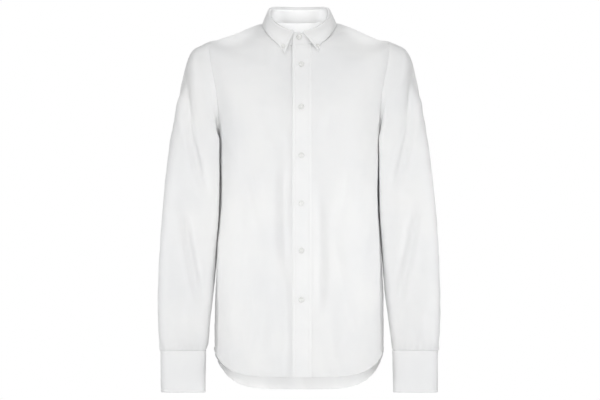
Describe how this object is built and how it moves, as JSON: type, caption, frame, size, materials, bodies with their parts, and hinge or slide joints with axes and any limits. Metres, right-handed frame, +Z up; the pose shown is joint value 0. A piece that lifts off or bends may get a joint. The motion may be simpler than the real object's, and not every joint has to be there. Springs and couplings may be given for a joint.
{
  "type": "shirt",
  "caption": "Long-sleeved shirt with a button-down collar, front button band, yoke, buttoned barrel cuffs and a curved hem, filled out as worn and hollow inside.",
  "frame": {"origin": "middle of the neck, level with the seam between collar and shoulders, where the wearer's neck and shoulders carry the shirt", "axes": "+Z up, +X towards the wearer's left, -Y towards the wearer's front"},
  "size_m": [0.566, 0.255, 0.7709],
  "materials": {
    "cloth": "white cotton plain weave, matte",
    "button": "white, lightly polished"
  },
  "bodies": {
    "root": {"front_left": "cloth", "front_right": "cloth", "button_band": "cloth", "back": "cloth", "yoke": "cloth", "sleeve_left": "cloth", "sleeve_right": "cloth", "sleeve_placket_left": "cloth", "sleeve_placket_right": "cloth", "cuff_left": "cloth", "cuff_right": "cloth", "collar_stand": "cloth", "collar_leaf": "cloth", "button_1": "button", "button_2": "button", "button_3": "button", "button_4": "button", "button_5": "button", "button_6": "button", "button_7": "button", "collar_button_left": "button", "collar_button_right": "button", "cuff_button_left": "button", "cuff_button_right": "button"}
  },
  "joints": []
}
